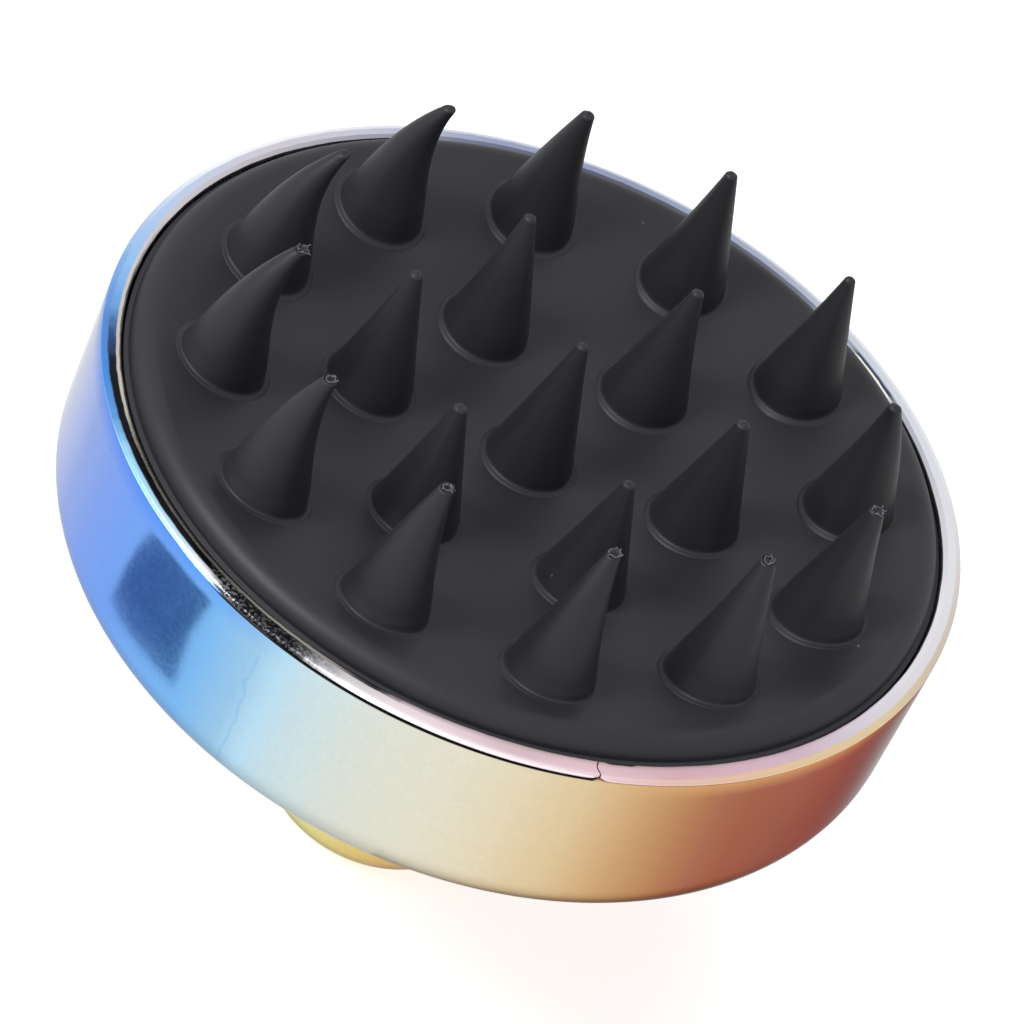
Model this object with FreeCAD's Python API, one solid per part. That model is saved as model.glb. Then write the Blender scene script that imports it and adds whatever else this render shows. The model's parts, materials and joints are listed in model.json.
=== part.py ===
"""Hand-held scalp massager: a plated back shell with a finger knob, a split trim ring round the rim,
and a dished silicone pad that carries nineteen soft bristles.

Millimetres, +Z up towards the bristle tips. The origin is the centre of the flat crown of the knob,
which is the face that the object stands on. Bristle 1 is the middle one, 2 to 7 are the inner ring
counted from +X, and 8 to 19 are the outer ring.
"""
import FreeCAD
import Part
import math
import os

from FreeCAD import Vector

# Overall sizes
body_diameter = 79.6        # across the rim
rim_height = 48.4           # from the crown of the knob to the flat of the trim ring

# Back shell: a cup with a tapered wall, a round corner and a shallow domed back
wall = 1.2
wall_depth = 14.1           # from the rim to where the corner starts
wall_taper = 0.15           # how much smaller the radius is at the bottom of the wall
corner_radius = 4.7
back_radius = 155.0         # of the domed back
ledge_width = 2.3           # the step inside the wall that the carrier plate sits on
ledge_height = 1.6

# Trim ring: a thin flange on top of the wall, and a leg inside it that clamps the pad
ring_width = 1.85           # of the flange
ring_thickness = 0.4
ring_edge_radius = 0.35     # round the outside of the flange
leg_thickness = 0.9
leg_depth = 4.55            # from the flat to the foot of the leg
ring_draft = 0.4            # how far the inner face leans in, from top to foot
split_gap = 0.15
split_angle = -69.0
catch_count = 6
catch_span = 16.0           # degrees that one catch covers
catch_depth = 3.0           # from the flat down to the middle of the catches
catch_height = 0.8
catch_reach = 0.45          # how far a catch stands out of the leg
groove_play = 0.2           # above and below a catch, in its groove

# Pad: a dished sheet of silicone that wraps over the carrier plate
dish_radius = 138.0
dish_depth = 3.07           # of the middle, below the flat of the ring
pad_thickness = 2.0
pad_gap = 0.65              # open ring between the pad and the trim ring
pad_side_wall = 1.5
pad_edge_radius = 1.8       # of the shoulder that rolls from the dish to the side
flange_thickness = 1.15

# Bristles
base_radius = 4.36
tip_radius = 0.55
inner_ring, outer_ring = 15.5, 29.0
outer_start = 15.0          # degrees from +X to the first bristle of the outer ring
middle_length, inner_length, outer_length = 14.5, 13.3, 13.9
socket_wall = 1.1
loft_steps = 6

# The set that each bristle has taken: how far its tip stands inwards, and counter-clockwise
middle_set = [(0.0, 0.0)]
inner_set = [(0.1, -0.7), (-0.3, 0.0), (-0.8, 0.1), (0.0, -0.5), (-0.2, -0.1), (-0.6, -0.4)]
outer_set = [
    (1.1, -0.9), (0.2, 0.3), (0.2, 0.3), (0.6, -0.5), (1.6, -1.3), (2.3, -1.5),
    (2.8, -0.7), (1.2, 1.0), (1.1, 0.4), (1.3, 0.8), (0.7, 0.7), (-0.3, -0.4),
]

# Carrier plate: dished like the pad, with a hole for each bristle's socket
plate_thickness = 1.8
hole_clearance = 0.3
boss_count, boss_ring = 3, 21.0
boss_start = 30.0
boss_radius = 3.2
screw_radius, screw_length = 1.25, 9.0
screw_head_radius, screw_head_height = 2.5, 1.5
recess_length, recess_width, recess_depth = 2.6, 0.6, 0.7

# Knob
crown_radius = 6.8          # of the flat that it stands on
crown_edge = 4.34
head_round = 6.0            # radius of the shoulder above the widest place
neck_radius = 7.2
neck_round = 6.4            # radius of the hollow on each side of the neck
knob_base_radius = 12.6
knob_seat_depth = 0.8       # how deep the base sits in the back shell
knob_cavity_radius = 5.0
knob_core = 10.0            # solid length above the cavity, for the screw
cap_radius, cap_thickness = 6.0, 2.0
spigot_length = 3.0
centre_boss_radius, centre_boss_height = 9.0, 2.6
peg_ring, peg_radius, peg_length = 6.4, 1.0, 1.6
knob_screw_radius, knob_screw_length = 1.95, 12.0
knob_screw_head_radius, knob_screw_head_height = 3.9, 2.4
knob_recess_length, knob_recess_width, knob_recess_depth = 4.4, 0.9, 1.2
washer_radius, washer_thickness = 5.2, 0.8

# Fits
fit = 0.05                  # pieces that are pressed or laid against each other
slip = 0.1                  # pieces that slide together
overcut = 1.0               # how far a cutting tool runs past what it cuts
socket_clearance = 0.12     # round the ball root of a bristle

# Worked out from the sizes above
rim_radius = body_diameter / 2
wall_foot_radius = rim_radius - wall_taper
wall_foot = rim_height - wall_depth
corner_centre = wall_foot_radius - corner_radius
back_centre = wall_foot + math.sqrt((back_radius - corner_radius) ** 2 - corner_centre ** 2)
shell_top = rim_height - ring_thickness - fit
ring_inner_radius = rim_radius - ring_width
leg_outer_radius = rim_radius - wall - slip
leg_foot = rim_height - leg_depth
dish_centre = rim_height - dish_depth + dish_radius
pad_radius = ring_inner_radius - pad_gap
flange_radius = leg_outer_radius - slip
flange_top = leg_foot - fit
flange_bottom = flange_top - flange_thickness
plate_top_radius = dish_radius + pad_thickness + fit
plate_side_radius = pad_radius - pad_side_wall - fit
plate_rim_top = flange_bottom - fit
plate_rim_bottom = plate_rim_top - plate_thickness
socket_radius = base_radius + socket_clearance
cup_radius = socket_radius + socket_wall
screw_hole = screw_radius + fit
knob_screw_hole = knob_screw_radius + fit

Z_AXIS = Vector(0, 0, 1)
ORIGIN = Vector(0, 0, 0)


def at(radius, z):
    """A point of a profile, in the XZ plane."""
    return Vector(radius, 0, z)


def polar(radius, degrees, z=0.0):
    angle = math.radians(degrees)
    return Vector(radius * math.cos(angle), radius * math.sin(angle), z)


def sphere_height(centre, radius, r):
    """The height of the lower side of a sphere on the axis, at the distance r from the axis."""
    return centre - math.sqrt(radius ** 2 - r ** 2)


def line(a, b):
    return Part.LineSegment(a, b).toShape()


def arc(a, middle, b):
    return Part.Arc(a, middle, b).toShape()


def bowl_arc(centre, radius, r_from, r_to):
    """An arc of a sphere on the axis, seen in the XZ plane."""
    stops = (r_from, (r_from + r_to) / 2, r_to)
    return arc(*[at(r, sphere_height(centre, radius, r)) for r in stops])


def round_arc(centre, radius, start, end):
    """An arc in the XZ plane about a centre, from one angle to another in degrees."""
    turns = [math.radians(start + (end - start) * share) for share in (0, 0.5, 1)]
    return arc(*[centre + Vector(radius * math.cos(t), 0, radius * math.sin(t)) for t in turns])


def revolve(edges):
    face = Part.Face(Part.Wire(edges))
    solid = face.revolve(ORIGIN, Z_AXIS, 360)
    return Part.makeSolid(solid.Shells[0]) if solid.ShapeType != "Solid" else solid


def revolve_outline(points):
    """Turns a closed outline of straight lines, given as (radius, z) pairs."""
    corners = [at(r, z) for r, z in points]
    return revolve([line(a, b) for a, b in zip(corners, corners[1:] + corners[:1])])


def cylinder(radius, bottom, top, centre=ORIGIN):
    return Part.makeCylinder(radius, top - bottom, Vector(centre.x, centre.y, bottom))


def clean(shape):
    """One tidy solid."""
    shape = shape.removeSplitter()
    return shape.Solids[0] if len(shape.Solids) == 1 else shape


def bristle_places():
    """(angle in degrees, distance from the axis, length, set of the tip) of each bristle."""
    places = []
    for start, distance, length, sets in (
        (0.0, 0.0, middle_length, middle_set),
        (0.0, inner_ring, inner_length, inner_set),
        (outer_start, outer_ring, outer_length, outer_set),
    ):
        for k, tip_set in enumerate(sets):
            places.append((start + 360.0 / len(sets) * k, distance, length, tip_set))
    return places


def pivot_of(place):
    """Where a bristle bends: on the dished face of the pad."""
    angle, distance = place[:2]
    return polar(distance, angle, sphere_height(dish_centre, dish_radius, distance))


def tip_shift(place):
    """How far the tip stands to the side of the root."""
    angle, (inward, around) = place[0], place[3]
    return polar(-inward, angle) + polar(around, angle + 90)


def bristle(place):
    """A cone that curves towards its tip, on a half-ball root."""
    root, shift, length = pivot_of(place), tip_shift(place), place[2]
    sections = []
    for step in range(loft_steps + 1):
        share = step / loft_steps
        centre = root + shift * share ** 2 + Vector(0, 0, length * share)
        radius = base_radius + (tip_radius - base_radius) * share
        sections.append(Part.Wire(Part.makeCircle(radius, centre, Z_AXIS)))
    cone = Part.makeLoft(sections, True)
    ball = Part.makeSphere(base_radius, root, Z_AXIS, -90, 0, 360)
    return clean(cone.fuse(ball))


def pad():
    """The silicone sheet: a dished face, a round shoulder, and a flange that the trim ring clamps."""
    inside = pad_radius - pad_side_wall
    under = dish_radius + pad_thickness
    edge_x = pad_radius - pad_edge_radius
    edge_centre = at(edge_x, sphere_height(dish_centre, dish_radius + pad_edge_radius, edge_x))
    slope = math.degrees(math.asin(edge_x / (dish_radius + pad_edge_radius)))
    face_end = edge_x - pad_edge_radius * math.sin(math.radians(slope))
    edges = [
        bowl_arc(dish_centre, dish_radius, 0, face_end),
        round_arc(edge_centre, pad_edge_radius, 90 + slope, 0),
        line(at(pad_radius, edge_centre.z), at(pad_radius, flange_top)),
        line(at(pad_radius, flange_top), at(flange_radius, flange_top)),
        line(at(flange_radius, flange_top), at(flange_radius, flange_bottom)),
        line(at(flange_radius, flange_bottom), at(inside, flange_bottom)),
        line(at(inside, flange_bottom), at(inside, sphere_height(dish_centre, under, inside))),
        bowl_arc(dish_centre, under, inside, 0),
        line(at(0, dish_centre - under), at(0, dish_centre - dish_radius)),
    ]
    sheet = revolve(edges)
    cups, balls = [], []
    for place in bristle_places():
        root = pivot_of(place)
        reach = socket_radius + socket_wall
        cups.append(cylinder(cup_radius, root.z - reach, root.z - pad_thickness / 2, root))
        balls.append(Part.makeSphere(socket_radius, root))
    return clean(sheet.multiFuse(cups).cut(Part.makeCompound(balls)))


def boss_places():
    return [polar(boss_ring, boss_start + 360.0 / boss_count * k) for k in range(boss_count)]


def plate_underside():
    """The level of the underside of the carrier plate where its screws go."""
    return sphere_height(dish_centre, plate_top_radius + plate_thickness, boss_ring)


def carrier_plate():
    """A dished plate with a turned-down edge and a flat rim, which backs the pad."""
    under = plate_top_radius + plate_thickness
    side_in = plate_side_radius - plate_thickness
    edges = [
        bowl_arc(dish_centre, plate_top_radius, 0, plate_side_radius),
        line(at(plate_side_radius, sphere_height(dish_centre, plate_top_radius, plate_side_radius)),
             at(plate_side_radius, plate_rim_top)),
        line(at(plate_side_radius, plate_rim_top), at(flange_radius, plate_rim_top)),
        line(at(flange_radius, plate_rim_top), at(flange_radius, plate_rim_bottom)),
        line(at(flange_radius, plate_rim_bottom), at(side_in, plate_rim_bottom)),
        line(at(side_in, plate_rim_bottom), at(side_in, sphere_height(dish_centre, under, side_in))),
        bowl_arc(dish_centre, under, side_in, 0),
        line(at(0, dish_centre - under), at(0, dish_centre - plate_top_radius)),
    ]
    plate = revolve(edges)
    seat = plate_underside() - screw_head_height
    pads = [cylinder(boss_radius, seat, plate_underside() + plate_thickness / 2, p) for p in boss_places()]
    cuts = [cylinder(cup_radius + hole_clearance, 0, rim_height * 2, pivot_of(p)) for p in bristle_places()]
    for place in boss_places():
        cuts.append(cylinder(screw_hole, 0, rim_height * 2, place))
        cuts.append(cylinder(screw_head_radius + slip, plate_underside(), rim_height * 2, place))
    return clean(plate.multiFuse(pads).cut(Part.makeCompound(cuts)))


def cross_recess(length, width, depth, top):
    """A cross-shaped recess that goes down from the point at the top of a screw."""
    bars = []
    for x, y in ((length, width), (width, length)):
        bars.append(Part.makeBox(x, y, depth, top - Vector(x / 2, y / 2, depth)))
    return bars[0].fuse(bars[1])


def carrier_screws():
    """Pan-head screws, sunk in the carrier plate and driven into the bosses of the back shell."""
    head_seat = plate_underside()
    screws = []
    for place in boss_places():
        head = cylinder(screw_head_radius, head_seat, head_seat + screw_head_height, place)
        shank = cylinder(screw_radius, head_seat - screw_length, head_seat, place)
        top = place + Vector(0, 0, head_seat + screw_head_height)
        recess = cross_recess(recess_length, recess_width, recess_depth, top)
        screws.append(clean(head.fuse(shank).cut(recess)))
    return Part.makeCompound(screws)


def shell_skin(offset):
    """The edges of the shell's skin from the rim to the axis, offset inwards."""
    junction = math.degrees(math.asin(corner_centre / (back_radius - corner_radius)))
    r_top = rim_radius - offset
    r_foot = wall_foot_radius - offset
    radius = corner_radius - offset
    centre = at(corner_centre, wall_foot)
    meet = corner_centre + radius * math.sin(math.radians(junction))
    return [
        line(at(r_top, shell_top), at(r_foot, wall_foot)),
        round_arc(centre, radius, 0, junction - 90),
        bowl_arc(back_centre, back_radius - offset, meet, 0),
    ]


def back_shell():
    """The plated cup: a wall, a round corner and a shallow dome, with the seats for what it holds."""
    outer, inner = shell_skin(0), shell_skin(wall)
    back_outside = back_centre - back_radius
    rim = line(at(rim_radius - wall, shell_top), at(rim_radius, shell_top))
    axis = line(at(0, back_outside), at(0, back_outside + wall))
    cup = revolve([rim] + outer + [axis] + inner[::-1])

    ledge_top = plate_rim_bottom - fit
    wall_in = rim_radius - wall
    ledge = revolve_outline([
        (wall_in - ledge_width, ledge_top), (wall_in, ledge_top),
        (wall_in, ledge_top - ledge_height - ledge_width), (wall_in - ledge_width, ledge_top - ledge_height),
    ])
    catch_middle = rim_height - catch_depth
    groove_half = catch_height / 2 + groove_play
    groove_floor = wall_in + catch_reach
    groove = revolve_outline([
        (wall_in - overcut, catch_middle - groove_half), (groove_floor, catch_middle - groove_half),
        (groove_floor, catch_middle + groove_half), (wall_in - overcut, catch_middle + groove_half),
    ])
    seat = knob_seat()
    boss_top = seat + centre_boss_height
    centre_boss = cylinder(centre_boss_radius, seat, boss_top)
    seat_disc = cylinder(knob_base_radius + slip + wall, seat, seat + wall)
    bosses = [cylinder(boss_radius, back_outside + wall / 2, boss_level(), p) for p in boss_places()]

    inside = revolve(inner + [line(at(0, back_outside + wall), at(0, shell_top)),
                              line(at(0, shell_top), at(wall_in, shell_top))])
    fittings = [b.common(inside) for b in bosses]
    shell = cup.multiFuse([ledge, centre_boss, seat_disc] + fittings)
    cuts = [groove, cylinder(wall_in, ledge_top, rim_height)]
    cuts.append(cylinder(knob_base_radius + slip, back_outside - overcut, seat))
    cuts.append(cylinder(knob_screw_radius + 2 * slip, 0, rim_height))
    for p in boss_places():
        cuts.append(cylinder(screw_hole, boss_level() - screw_length, rim_height, p))
    for p in peg_places():
        cuts.append(cylinder(peg_radius + slip, 0, seat + peg_length + slip, p))
    return clean(shell.cut(Part.makeCompound(cuts)))


def boss_level():
    """The top of the shell's screw bosses, which the carrier plate's own bosses stand on."""
    return plate_underside() - screw_head_height - fit


def knob_seat():
    """The level of the flat in the back shell that the knob's base stands against."""
    return sphere_height(back_centre, back_radius, knob_base_radius) + knob_seat_depth


def peg_places():
    return [polar(peg_ring, degrees) for degrees in (0, 180)]


def knob():
    """A waisted knob, hollow from its crown, with a solid core that the knob screw bites in."""
    head_radius = crown_radius + crown_edge
    shoulder = at(head_radius - head_round, crown_edge)
    span = head_round + neck_round
    hollow_x = neck_radius + neck_round
    lean = math.degrees(math.acos((hollow_x - shoulder.x) / span))
    hollow = at(hollow_x, crown_edge + span * math.sin(math.radians(lean)))
    seat = knob_seat() - fit
    base_edge = sphere_height(back_centre, back_radius, knob_base_radius)
    turn = math.degrees(math.acos((hollow_x - knob_base_radius) / neck_round))
    flare = at(hollow_x, base_edge - neck_round * math.sin(math.radians(turn)))
    edges = [
        line(at(0, 0), at(crown_radius, 0)),
        round_arc(at(crown_radius, crown_edge), crown_edge, -90, 0),
        round_arc(shoulder, head_round, 0, lean),
        round_arc(hollow, neck_round, 180 + lean, 180),
        line(at(neck_radius, hollow.z), at(neck_radius, flare.z)),
        round_arc(flare, neck_round, 180, 180 - turn),
        line(at(knob_base_radius, base_edge), at(knob_base_radius, seat)),
        line(at(knob_base_radius, seat), at(0, seat)),
        line(at(0, seat), at(0, 0)),
    ]
    body = revolve(edges)
    pegs = [cylinder(peg_radius, seat - overcut, seat + peg_length, p) for p in peg_places()]
    cuts = [
        cylinder(cap_radius + fit, -overcut, cap_thickness),
        cylinder(knob_cavity_radius, 0, seat - knob_core),
        cylinder(knob_screw_hole, seat - knob_screw_length, seat + overcut),
    ]
    return clean(body.multiFuse(pegs).cut(Part.makeCompound(cuts)))


def knob_cap():
    """The disc that closes the crown of the knob, with a spigot that is pressed into the cavity."""
    disc = cylinder(cap_radius, 0, cap_thickness - fit)
    spigot = cylinder(knob_cavity_radius - fit, cap_thickness / 2, cap_thickness + spigot_length)
    core = cylinder(knob_cavity_radius - wall, cap_thickness, cap_thickness + spigot_length)
    return clean(disc.fuse(spigot).cut(core))


def knob_washer():
    bottom = knob_seat() + centre_boss_height + fit
    washer = cylinder(washer_radius, bottom, bottom + washer_thickness)
    hole = cylinder(knob_screw_radius + slip, bottom - overcut, bottom + washer_thickness + overcut)
    return clean(washer.cut(hole))


def knob_screw():
    """The screw that holds the knob, driven from inside the shell."""
    head_seat = knob_seat() + centre_boss_height + washer_thickness + 2 * fit
    foot = knob_seat() - knob_screw_length + slip
    head = cylinder(knob_screw_head_radius, head_seat, head_seat + knob_screw_head_height)
    shank = cylinder(knob_screw_radius, foot, head_seat)
    top = Vector(0, 0, head_seat + knob_screw_head_height)
    recess = cross_recess(knob_recess_length, knob_recess_width, knob_recess_depth, top)
    return clean(head.fuse(shank).cut(recess))


def trim_ring():
    """The split ring: a thin flange that caps the rim, a drafted leg, and catches for the groove."""
    foot_inner = ring_inner_radius - ring_draft
    flange_under = rim_height - ring_thickness
    edge_centre = at(rim_radius - ring_edge_radius, rim_height - ring_edge_radius)
    corners = [
        at(rim_radius, edge_centre.z), at(rim_radius, flange_under), at(leg_outer_radius, flange_under),
        at(leg_outer_radius, leg_foot), at(foot_inner, leg_foot), at(ring_inner_radius, rim_height),
        at(edge_centre.x, rim_height),
    ]
    ring = revolve([line(a, b) for a, b in zip(corners, corners[1:])] + [
        round_arc(edge_centre, ring_edge_radius, 90, 0),
    ])
    middle = rim_height - catch_depth
    profile = [
        at(leg_outer_radius - leg_thickness / 2, middle - catch_height / 2),
        at(leg_outer_radius, middle - catch_height / 2),
        at(leg_outer_radius + catch_reach, middle),
        at(leg_outer_radius + catch_reach, middle + catch_height / 2),
        at(leg_outer_radius - leg_thickness / 2, middle + catch_height / 2),
    ]
    face = Part.Face(Part.Wire([line(a, b) for a, b in zip(profile, profile[1:] + profile[:1])]))
    catches = []
    for k in range(catch_count):
        turned = face.copy()
        start = 360.0 / catch_count * (k + 0.5) - catch_span / 2
        turned.rotate(ORIGIN, Z_AXIS, start)
        catches.append(turned.revolve(ORIGIN, Z_AXIS, catch_span))
    ring = ring.multiFuse(catches)
    gap = Part.makeBox(body_diameter, split_gap, body_diameter, Vector(0, -split_gap / 2, 0))
    gap.rotate(ORIGIN, Z_AXIS, split_angle)
    return clean(ring.cut(gap))


def main():
    os.makedirs("parts", exist_ok=True)
    pieces = {
        "back_shell": back_shell(),
        "trim_ring": trim_ring(),
        "bristle_pad": pad(),
        "carrier_plate": carrier_plate(),
        "carrier_screws": carrier_screws(),
        "knob": knob(),
        "knob_cap": knob_cap(),
        "knob_washer": knob_washer(),
        "knob_screw": knob_screw(),
    }
    for number, place in enumerate(bristle_places(), 1):
        pieces[f"bristle_{number:02d}"] = bristle(place)
    for name, shape in pieces.items():
        ok = shape.isValid() and all(s.isClosed() for s in shape.Shells)
        box = shape.BoundBox
        levels = f"z {box.ZMin:.2f} to {box.ZMax:.2f}"
        print(f"{name:16s} {len(shape.Solids)} solids, ok {ok}, {shape.Volume:.1f} mm3, {levels}")
        shape.exportStep(f"parts/{name}.step")


main()
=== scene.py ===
import json
import math

import bpy
import numpy as np
from mathutils import Matrix, Vector

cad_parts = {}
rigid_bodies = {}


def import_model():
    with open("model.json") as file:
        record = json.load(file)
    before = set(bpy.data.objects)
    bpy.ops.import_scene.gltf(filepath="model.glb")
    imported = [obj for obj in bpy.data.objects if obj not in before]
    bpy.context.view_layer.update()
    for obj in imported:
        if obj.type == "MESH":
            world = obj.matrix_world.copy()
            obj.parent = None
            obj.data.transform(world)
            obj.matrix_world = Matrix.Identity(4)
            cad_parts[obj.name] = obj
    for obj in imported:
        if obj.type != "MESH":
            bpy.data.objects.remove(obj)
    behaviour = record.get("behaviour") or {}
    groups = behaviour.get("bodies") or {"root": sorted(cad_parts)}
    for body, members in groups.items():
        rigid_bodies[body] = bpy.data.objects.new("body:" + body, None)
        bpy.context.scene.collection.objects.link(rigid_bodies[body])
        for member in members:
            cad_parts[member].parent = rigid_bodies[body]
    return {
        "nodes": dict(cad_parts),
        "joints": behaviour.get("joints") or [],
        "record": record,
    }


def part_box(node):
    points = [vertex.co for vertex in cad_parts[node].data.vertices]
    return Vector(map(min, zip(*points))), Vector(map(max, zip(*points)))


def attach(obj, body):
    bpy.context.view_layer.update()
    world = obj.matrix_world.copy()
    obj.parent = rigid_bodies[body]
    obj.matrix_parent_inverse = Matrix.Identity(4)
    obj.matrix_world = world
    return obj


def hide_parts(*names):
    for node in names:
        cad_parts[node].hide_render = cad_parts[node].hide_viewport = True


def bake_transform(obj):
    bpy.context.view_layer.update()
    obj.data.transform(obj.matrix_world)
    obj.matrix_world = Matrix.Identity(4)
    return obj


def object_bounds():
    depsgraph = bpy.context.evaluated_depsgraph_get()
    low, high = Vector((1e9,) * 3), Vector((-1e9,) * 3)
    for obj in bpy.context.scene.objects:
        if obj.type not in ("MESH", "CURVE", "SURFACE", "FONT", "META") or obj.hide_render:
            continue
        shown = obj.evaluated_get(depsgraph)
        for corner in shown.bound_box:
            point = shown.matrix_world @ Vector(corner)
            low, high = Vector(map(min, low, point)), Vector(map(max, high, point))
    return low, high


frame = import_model()
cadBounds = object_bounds()
mm = 0.001


# node helpers, for shaders and Geometry Nodes alike


class Wire:
    # one output socket: maths on it reads as an expression, and adds its Math nodes
    def __init__(self, graph, socket):
        self.graph = graph
        self.socket = socket

    def math(self, operation, other=0.0, flipped=False):
        pair = (other, self) if flipped else (self, other)
        return self.graph.add("ShaderNodeMath", {"operation": operation}, {0: pair[0], 1: pair[1]})

    def __add__(self, other):
        return self.math("ADD", other)

    def __sub__(self, other):
        return self.math("SUBTRACT", other)

    def __rsub__(self, other):
        return self.math("SUBTRACT", other, True)

    def __mul__(self, other):
        return self.math("MULTIPLY", other)

    def __truediv__(self, other):
        return self.math("DIVIDE", other)

    def __pow__(self, other):
        return self.math("POWER", other)

    __radd__ = __add__
    __rmul__ = __mul__


class Graph:
    # adds every other kind of node: its settings first, then the values or wires of its sockets
    def __init__(self, tree):
        self.tree = tree

    def add(self, kind, settings=None, sockets=None, out=0):
        node = self.tree.nodes.new(kind)
        for key, value in (settings or {}).items():
            if key == "stops":
                fillRamp(node.color_ramp, value)
            elif key == "points":
                fillCurve(node.mapping, value)
            else:
                setattr(node, key, value)
        for key, value in (sockets or {}).items():
            self.plug(node.inputs[key], value)
        return Wire(self, node.outputs[out]) if len(node.outputs) else None

    def plug(self, socket, value):
        if isinstance(value, Wire):
            self.tree.links.new(value.socket, socket)
        else:
            socket.default_value = value

    def also(self, wire, out):
        # another output of the node that a wire comes from
        return Wire(self, wire.socket.node.outputs[out])


def fillRamp(ramp, stops):
    while len(ramp.elements) < len(stops):
        ramp.elements.new(1.0)
    for element, (place, colour) in zip(ramp.elements, stops):
        element.position = place
        element.color = colour


def fillCurve(mapping, points):
    curve = mapping.curves[0]
    while len(curve.points) < len(points):
        curve.points.new(0.5, 0.5)
    for point, place in zip(curve.points, points):
        point.location = place
        point.handle_type = "VECTOR"
    mapping.update()


def linear(red, green, blue):
    # a colour as a screen shows it, 0 to 255, made linear for a shader
    return tuple(((v / 255 + 0.055) / 1.055) ** 2.4 for v in (red, green, blue)) + (1.0,)


def mixed(graph, share, low, high):
    return graph.add("ShaderNodeMix", {"data_type": "RGBA"}, {0: share, 6: low, 7: high}, out=2)


def between(wire, nought, one):
    # nought at the first value and one at the second, straight between them and level beyond
    return ((wire - nought) / (one - nought)).math("MAXIMUM", 0.0).math("MINIMUM", 1.0)


# places that come from the CAD frame

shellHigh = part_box("back_shell")[1]
ringLow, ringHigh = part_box("trim_ring")
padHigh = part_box("bristle_pad")[1]
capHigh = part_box("knob_cap")[1]
rimRadius = shellHigh.x
rimHeight = ringHigh.z
pivots = {joint["child"]: Vector(joint["pos_m"]) for joint in frame["joints"]}
rootBody = frame["joints"][0]["parent"]
print("frame: rim radius", round(rimRadius, 4), "rim height", round(rimHeight, 4), "bristles", len(pivots))

# the trim ring's sizes, which its material and the pad use too
ringSize = {
    "width": 1.85 * mm,
    "thickness": 0.4 * mm,
    "draft": 0.4 * mm,
    "legInset": 1.3 * mm,
    "outerRound": 0.36 * mm,
    "innerRound": 0.13 * mm,
    "splitAngle": -69.0,
    "splitGap": 0.16 * mm,
    # beside the split the ring stands off the rim, over this many degrees
    "lift": 0.16 * mm,
    "liftSpan": 54.0,
    # and further round its inner side is pressed down
    "sink": 0.22 * mm,
    "sinkMiddle": -136.0,
    "sinkSpan": 44.0,
    "raggedness": 0.015 * mm,
    # the cut is a little wavy, its outer corners are rounded off and its right inner corner is chipped
    "sway": 0.11 * mm,
    "swayTurns": 4.2,
    "corner": 0.3 * mm,
    "chip": 0.13 * mm,
    # over a short span, in degrees, the inner lip is flared down into the gap
    "flare": 0.7 * mm,
    "flareSpan": (39.5, 50.5),
    "steps": 480,
}


# materials


def newMaterial(name):
    material = bpy.data.materials.new(name)
    material.use_nodes = True
    material.node_tree.nodes.clear()
    return material, Graph(material.node_tree)


def noise(graph, position, scale, detail=2.0):
    return graph.add("ShaderNodeTexNoise", None, {"Vector": position, "Scale": scale, "Detail": detail})


def finishMaterial(graph, shader):
    graph.add("ShaderNodeOutputMaterial", None, {"Surface": shader})


def bumped(graph, height, distance, strength=1.0, under=None):
    sockets = {"Strength": strength, "Distance": distance, "Height": height}
    if under:
        sockets["Normal"] = under
    return graph.add("ShaderNodeBump", None, sockets)


plating = {
    # distance across the brush in mm, and the colour of the plating there
    "stops": [
        (-40, (222, 229, 255)), (-37.9, (188, 203, 255)), (-35.8, (141, 165, 230)), (-33, (118, 151, 224)),
        (-30, (104, 148, 222)), (-19.9, (110, 166, 215)), (-16.2, (136, 177, 206)),
        (-13.6, (165, 198, 215)), (-11, (179, 199, 205)), (-8.3, (187, 201, 200)), (-5.5, (195, 200, 193)),
        (-2.8, (199, 201, 188)), (0, (202, 201, 186)), (2.8, (206, 201, 183)), (5.5, (206, 199, 176)),
        (8.3, (208, 196, 168)), (11, (206, 188, 154)), (13.6, (204, 183, 144)), (16.2, (199, 167, 125)),
        (18.7, (190, 152, 109)), (21.1, (181, 137, 95)), (23.4, (172, 120, 85)), (25.6, (165, 106, 84)),
        (27.6, (164, 101, 80)), (29.6, (172, 106, 88)), (31.4, (181, 112, 96)), (34, (205, 114, 99)),
        (35.6, (209, 98, 86)), (37, (204, 66, 58)), (40, (200, 60, 54)),
    ],
    # how far the edges of the colours wander, in mm, and the scale of that
    "wander": 1.8,
    "wanderScale": 45.0,
    "grain": 2600.0,
    "mottle": 420.0,
    "speckle": 1900.0,
    "speckleShare": 0.07,
    "speckleColour": (110, 104, 100),
    "roughness": 0.13,
    "roughnessGrain": 0.05,
    "roughnessMottle": 0.06,
    "coat": 0.04,
    # the plating at a glancing angle, on the blue side and on the rust side
    "edgeTint": ((0.62, 0.62, 0.62), (0.43, 0.38, 0.37)),
}


def acrossRamp(graph, position, stops, wander):
    # the plating's colour at a place, from the distance across the brush, with a soft uneven edge
    uneven = noise(graph, position, plating["wanderScale"], 3.0)
    parts = graph.add("ShaderNodeSeparateXYZ", None, {0: position})
    span = 2 * rimRadius
    place = (parts + (uneven - 0.5) * (wander * mm)) / span + 0.5
    ramp = [((x * mm + rimRadius) / span, linear(*colour)) for x, colour in stops]
    return graph.add("ShaderNodeValToRGB", {"stops": ramp}, {0: place})


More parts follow.
